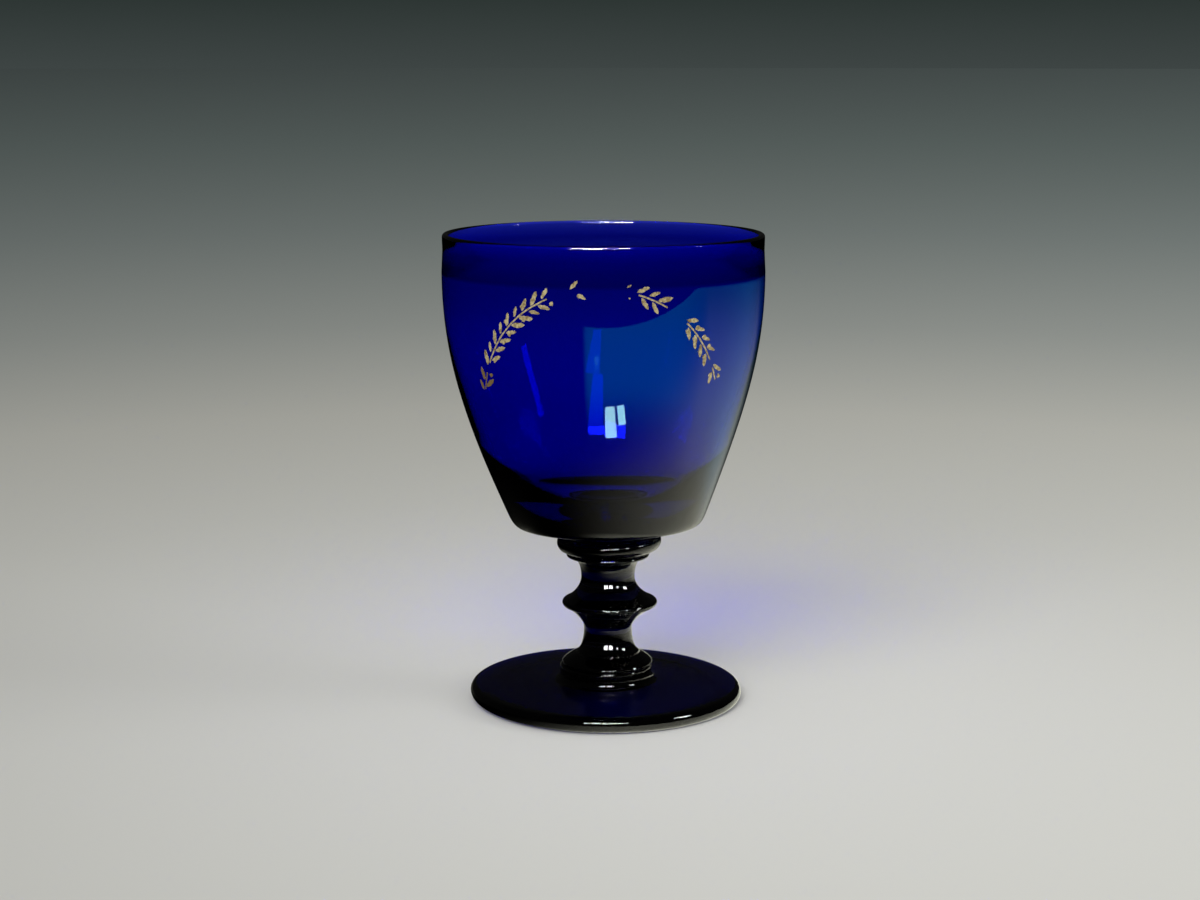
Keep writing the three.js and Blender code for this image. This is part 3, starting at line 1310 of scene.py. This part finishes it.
    def painted_cool_reflection(self) -> bpy.types.Material:
        """Make a painted reflection for the bowl: a bluish glow over the table, clear but for the glass that
        mirrors it.

        Returns:
            The material.
        """
        material = bpy.data.materials.new("painted_cool_reflection")
        nodes = Nodes(material)
        point = self.table_point(nodes)
        rightness = nodes.maths("DIVIDE", point.right, point.away)
        level = nodes.steps(
            (point.away, self.cool_near),
            (rightness, self.cool_side),
            (rightness, self.cool_fade[::-1]),
            (nodes.maths("DIVIDE", point.front, point.away), self.cool_front),
            (point.front, self.paper_front[::-1]),
            (point.away, self.paper_reach[::-1]),
        )
        clear = nodes.add("ShaderNodeBsdfTransparent").outputs["BSDF"]
        shine = nodes.add("ShaderNodeEmission", inputs={"Color": nodes.scaled(self.cool, level)})
        both = nodes.add("ShaderNodeAddShader", inputs={0: clear, 1: shine.outputs["Emission"]})
        mirrored = nodes.mixed(nodes.mirrored_ray(), clear, both.outputs["Shader"])
        nodes.add("ShaderNodeOutputMaterial", inputs={"Surface": mirrored})
        return material

    def painted_reflection_sheet(self) -> None:
        """Lay the sheet of painted bluish reflection over the table, which only the bowl mirrors and which
        the eye doesn't see.
        """
        card = self.sheet(
            "painted_reflection_sheet", self.paper_reach[1], self.cool_facets, self.cool_height, self.painted_cool_reflection()
        )
        card.visible_camera = False
        card.visible_diffuse = False
        card.visible_transmission = False
        card.visible_shadow = False
        self.show_only_in(card, Shows.BOWL)

    def world(self) -> None:
        """Fill the room with soft light, and show the dim room itself to the eye and to the glass."""
        world = bpy.data.worlds.new("studio")
        nodes = Nodes(world)
        rays = nodes.add("ShaderNodeLightPath").outputs
        seen = nodes.maths("MAXIMUM", rays["Is Camera Ray"], rays["Is Transmission Ray"])
        way = nodes.add("ShaderNodeTexCoord").outputs["Generated"]
        height = nodes.add("ShaderNodeSeparateXYZ", inputs={"Vector": way}).outputs["Z"]
        dusk = nodes.ramp(nodes.span(height, self.room_rise), ((0.0, self.room_low), (1.0, self.room_high)))
        fill, room, dark = (
            nodes.add("ShaderNodeBackground", inputs={"Color": colour, "Strength": strength}).outputs[0]
            for colour, strength in ((WHITE, self.ambient), (dusk, 1.0), (WHITE, self.glossy_room))
        )
        both = nodes.mixed(nodes.mirrored_ray(), nodes.mixed(seen, fill, room), dark)
        nodes.add("ShaderNodeOutputWorld", inputs={"Surface": both})
        bpy.context.scene.world = world

    def panel(
        self,
        name: str,
        size: tuple[float, float],
        glow: tuple[float, float, float],
        shows: Shows,
        through: bool = True,
    ) -> bpy.types.Object:
        """Make a flat glowing panel at the origin, facing up.

        Args:
            name: The panel's name.
            size: Its sides.
            glow: Its radiance in red, green and blue.
            shows: The pieces that it shows in.
            through: Whether a panel that shows also sends light through the glass.

        Returns:
            The panel.
        """
        light = bpy.data.lights.new(name, "AREA")
        light.shape = "RECTANGLE"
        light.size, light.size_y = size
        peak = max(glow)
        # A flat lamp glows with its power over its area and pi
        light.energy = peak * size[0] * size[1] * math.pi
        light.color = [part / peak for part in glow]
        panel = bpy.data.objects.new(name, light)
        panel.visible_camera = False
        panel.visible_diffuse = shows is Shows.NONE
        panel.visible_glossy = shows is not Shows.NONE
        panel.visible_transmission = panel.visible_glossy and through
        bpy.context.collection.objects.link(panel)
        if shows is not Shows.NONE:
            self.show_only_in(panel, shows)
        return panel

    def hang(self, lamp: Lamp) -> None:
        """Hang one lamp round the glass.

        Args:
            lamp: The lamp.
        """
        spans = (lamp.wide_deg, lamp.high_deg)
        size = [2 * self.lamp_distance * math.tan(math.radians(span / 2)) for span in spans]
        panel = self.panel(lamp.name, (size[0], size[1]), (lamp.radiance,) * 3, lamp.shows, lamp.through)
        turn, rise = math.radians(lamp.azimuth_deg), math.radians(lamp.elevation_deg)
        towards = Vector((math.sin(turn) * math.cos(rise), -math.cos(turn) * math.cos(rise), math.sin(rise)))
        panel.location = towards * self.lamp_distance + Vector((0, 0, self.lamp_aim))
        panel.rotation_euler = towards.to_track_quat("Z", "Y").to_euler()

    def lay(self, card: Card) -> None:
        """Lay one card in front of the glass, facing up.

        Args:
            card: The card.
        """
        panel = self.panel(card.name, card.size, card.glow, Shows.BOWL, through=False)
        panel.location = (*card.middle, self.card_height)
        panel.rotation_euler = (math.pi, 0, 0)

    def camera(self) -> None:
        """Stand the camera where the photograph was taken from."""
        lens = bpy.data.cameras.new("camera")
        lens.sensor_width = SENSOR_WIDTH_MM
        lens.lens = FOCAL_LENGTH_PX / PHOTO_WIDTH_PX * lens.sensor_width
        eye = bpy.data.objects.new("camera", lens)
        sideways = AXIS_SHIFT_PX / FOCAL_LENGTH_PX * self.camera_distance
        eye.location = (-sideways, -self.camera_distance, self.camera_height)
        eye.rotation_euler = (math.radians(90 - self.camera_pitch_deg), 0, 0)
        bpy.context.collection.objects.link(eye)
        bpy.context.scene.camera = eye

    def build(self) -> None:
        """Set up the floor, the light and the camera."""
        self.camera()
        self.sheet("floor", self.floor_radius, self.floor_facets, self.floor_height, self.paper())
        self.painted_reflection_sheet()
        self.world()
        for lamp in self.lamps:
            self.hang(lamp)
        for card in self.cards:
            self.lay(card)
        bpy.context.scene.view_settings.view_transform = "Standard"


def main() -> None:
    """Build every gather of the glass, the gilding and the studio, and report each piece."""
    logging.basicConfig(level=logging.INFO, format="%(name)s: %(message)s")
    bowl = Bowl()
    gathers = (Foot(), FootCollar(), KnoppedStem(), StemRing(), BowlCollar(), bowl)
    pieces = {gather.node: gather.build() for gather in gathers}
    Garland(bowl).build()
    Studio(pieces).build()


if __name__ == "__main__":
    main()
